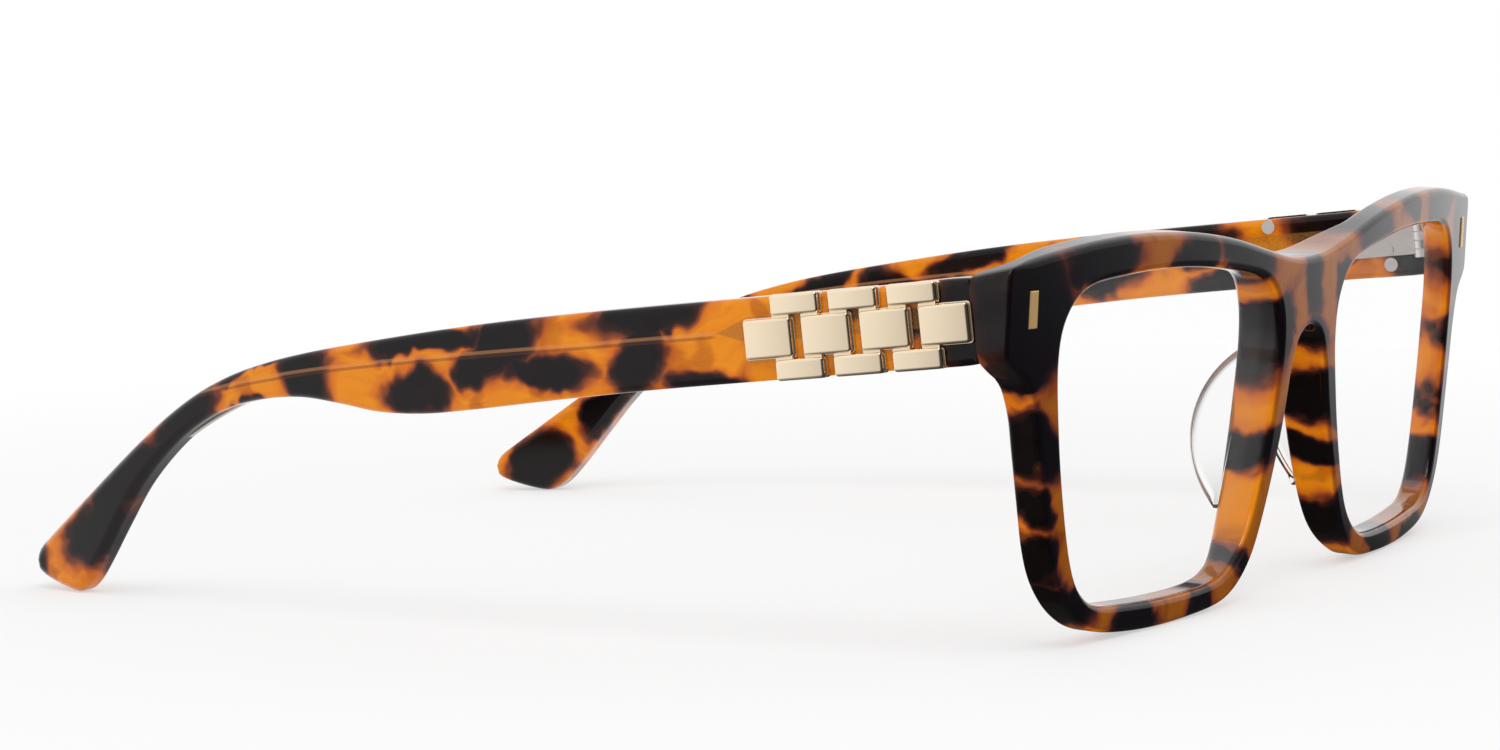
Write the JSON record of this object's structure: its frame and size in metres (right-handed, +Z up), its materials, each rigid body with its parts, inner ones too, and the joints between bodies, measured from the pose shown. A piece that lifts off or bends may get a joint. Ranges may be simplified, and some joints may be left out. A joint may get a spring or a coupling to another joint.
{
  "type": "rectangular eyeglasses",
  "caption": "Rectangular full-rim acetate eyeglasses with clear lenses, hinged folding temples and a metal link ornament on each temple.",
  "frame": {"origin": "middle of the bottom face of the bounding box, with the glasses open and standing on rims and temple tips", "axes": "+X to the wearer's left, +Y from the front towards the temple tips, +Z up"},
  "size_m": [0.145, 0.1448, 0.0444],
  "materials": {
    "acetate": "polished tortoiseshell cellulose acetate",
    "clear_lens": "clear, polished",
    "clear_pad": "clear, polished",
    "pale_gold": "pale gold plate, polished",
    "silver": "polished nickel silver",
    "core_steel": "drawn wire"
  },
  "bodies": {
    "front": {"front_frame": "acetate", "left_lens": "clear_lens", "right_lens": "clear_lens", "left_nose_pad": "clear_pad", "right_nose_pad": "clear_pad", "left_rivet_bar": "pale_gold", "right_rivet_bar": "pale_gold", "left_front_hinge": "silver", "right_front_hinge": "silver", "left_hinge_screw": "silver", "right_hinge_screw": "silver"},
    "left_temple": {"left_temple_arm": "acetate", "left_core_wire": "core_steel", "left_temple_hinge": "silver", "left_hinge_leaf_screws": "silver", "left_link_ornament": "pale_gold", "left_ornament_screws": "silver"},
    "right_temple": {"right_temple_arm": "acetate", "right_core_wire": "core_steel", "right_temple_hinge": "silver", "right_hinge_leaf_screws": "silver", "right_link_ornament": "pale_gold", "right_ornament_screws": "silver"}
  },
  "joints": [
    {"name": "left_temple_fold", "type": "hinge", "parent": "front", "child": "left_temple", "pos_m": [0.06595, -0.06183, 0.03657], "axis": [0, 0.0941, 0.9956], "range_deg": [0, 83]},
    {"name": "right_temple_fold", "type": "hinge", "parent": "front", "child": "right_temple", "pos_m": [-0.06595, -0.06183, 0.03657], "axis": [0, -0.0941, -0.9956], "range_deg": [0, 68]}
  ]
}
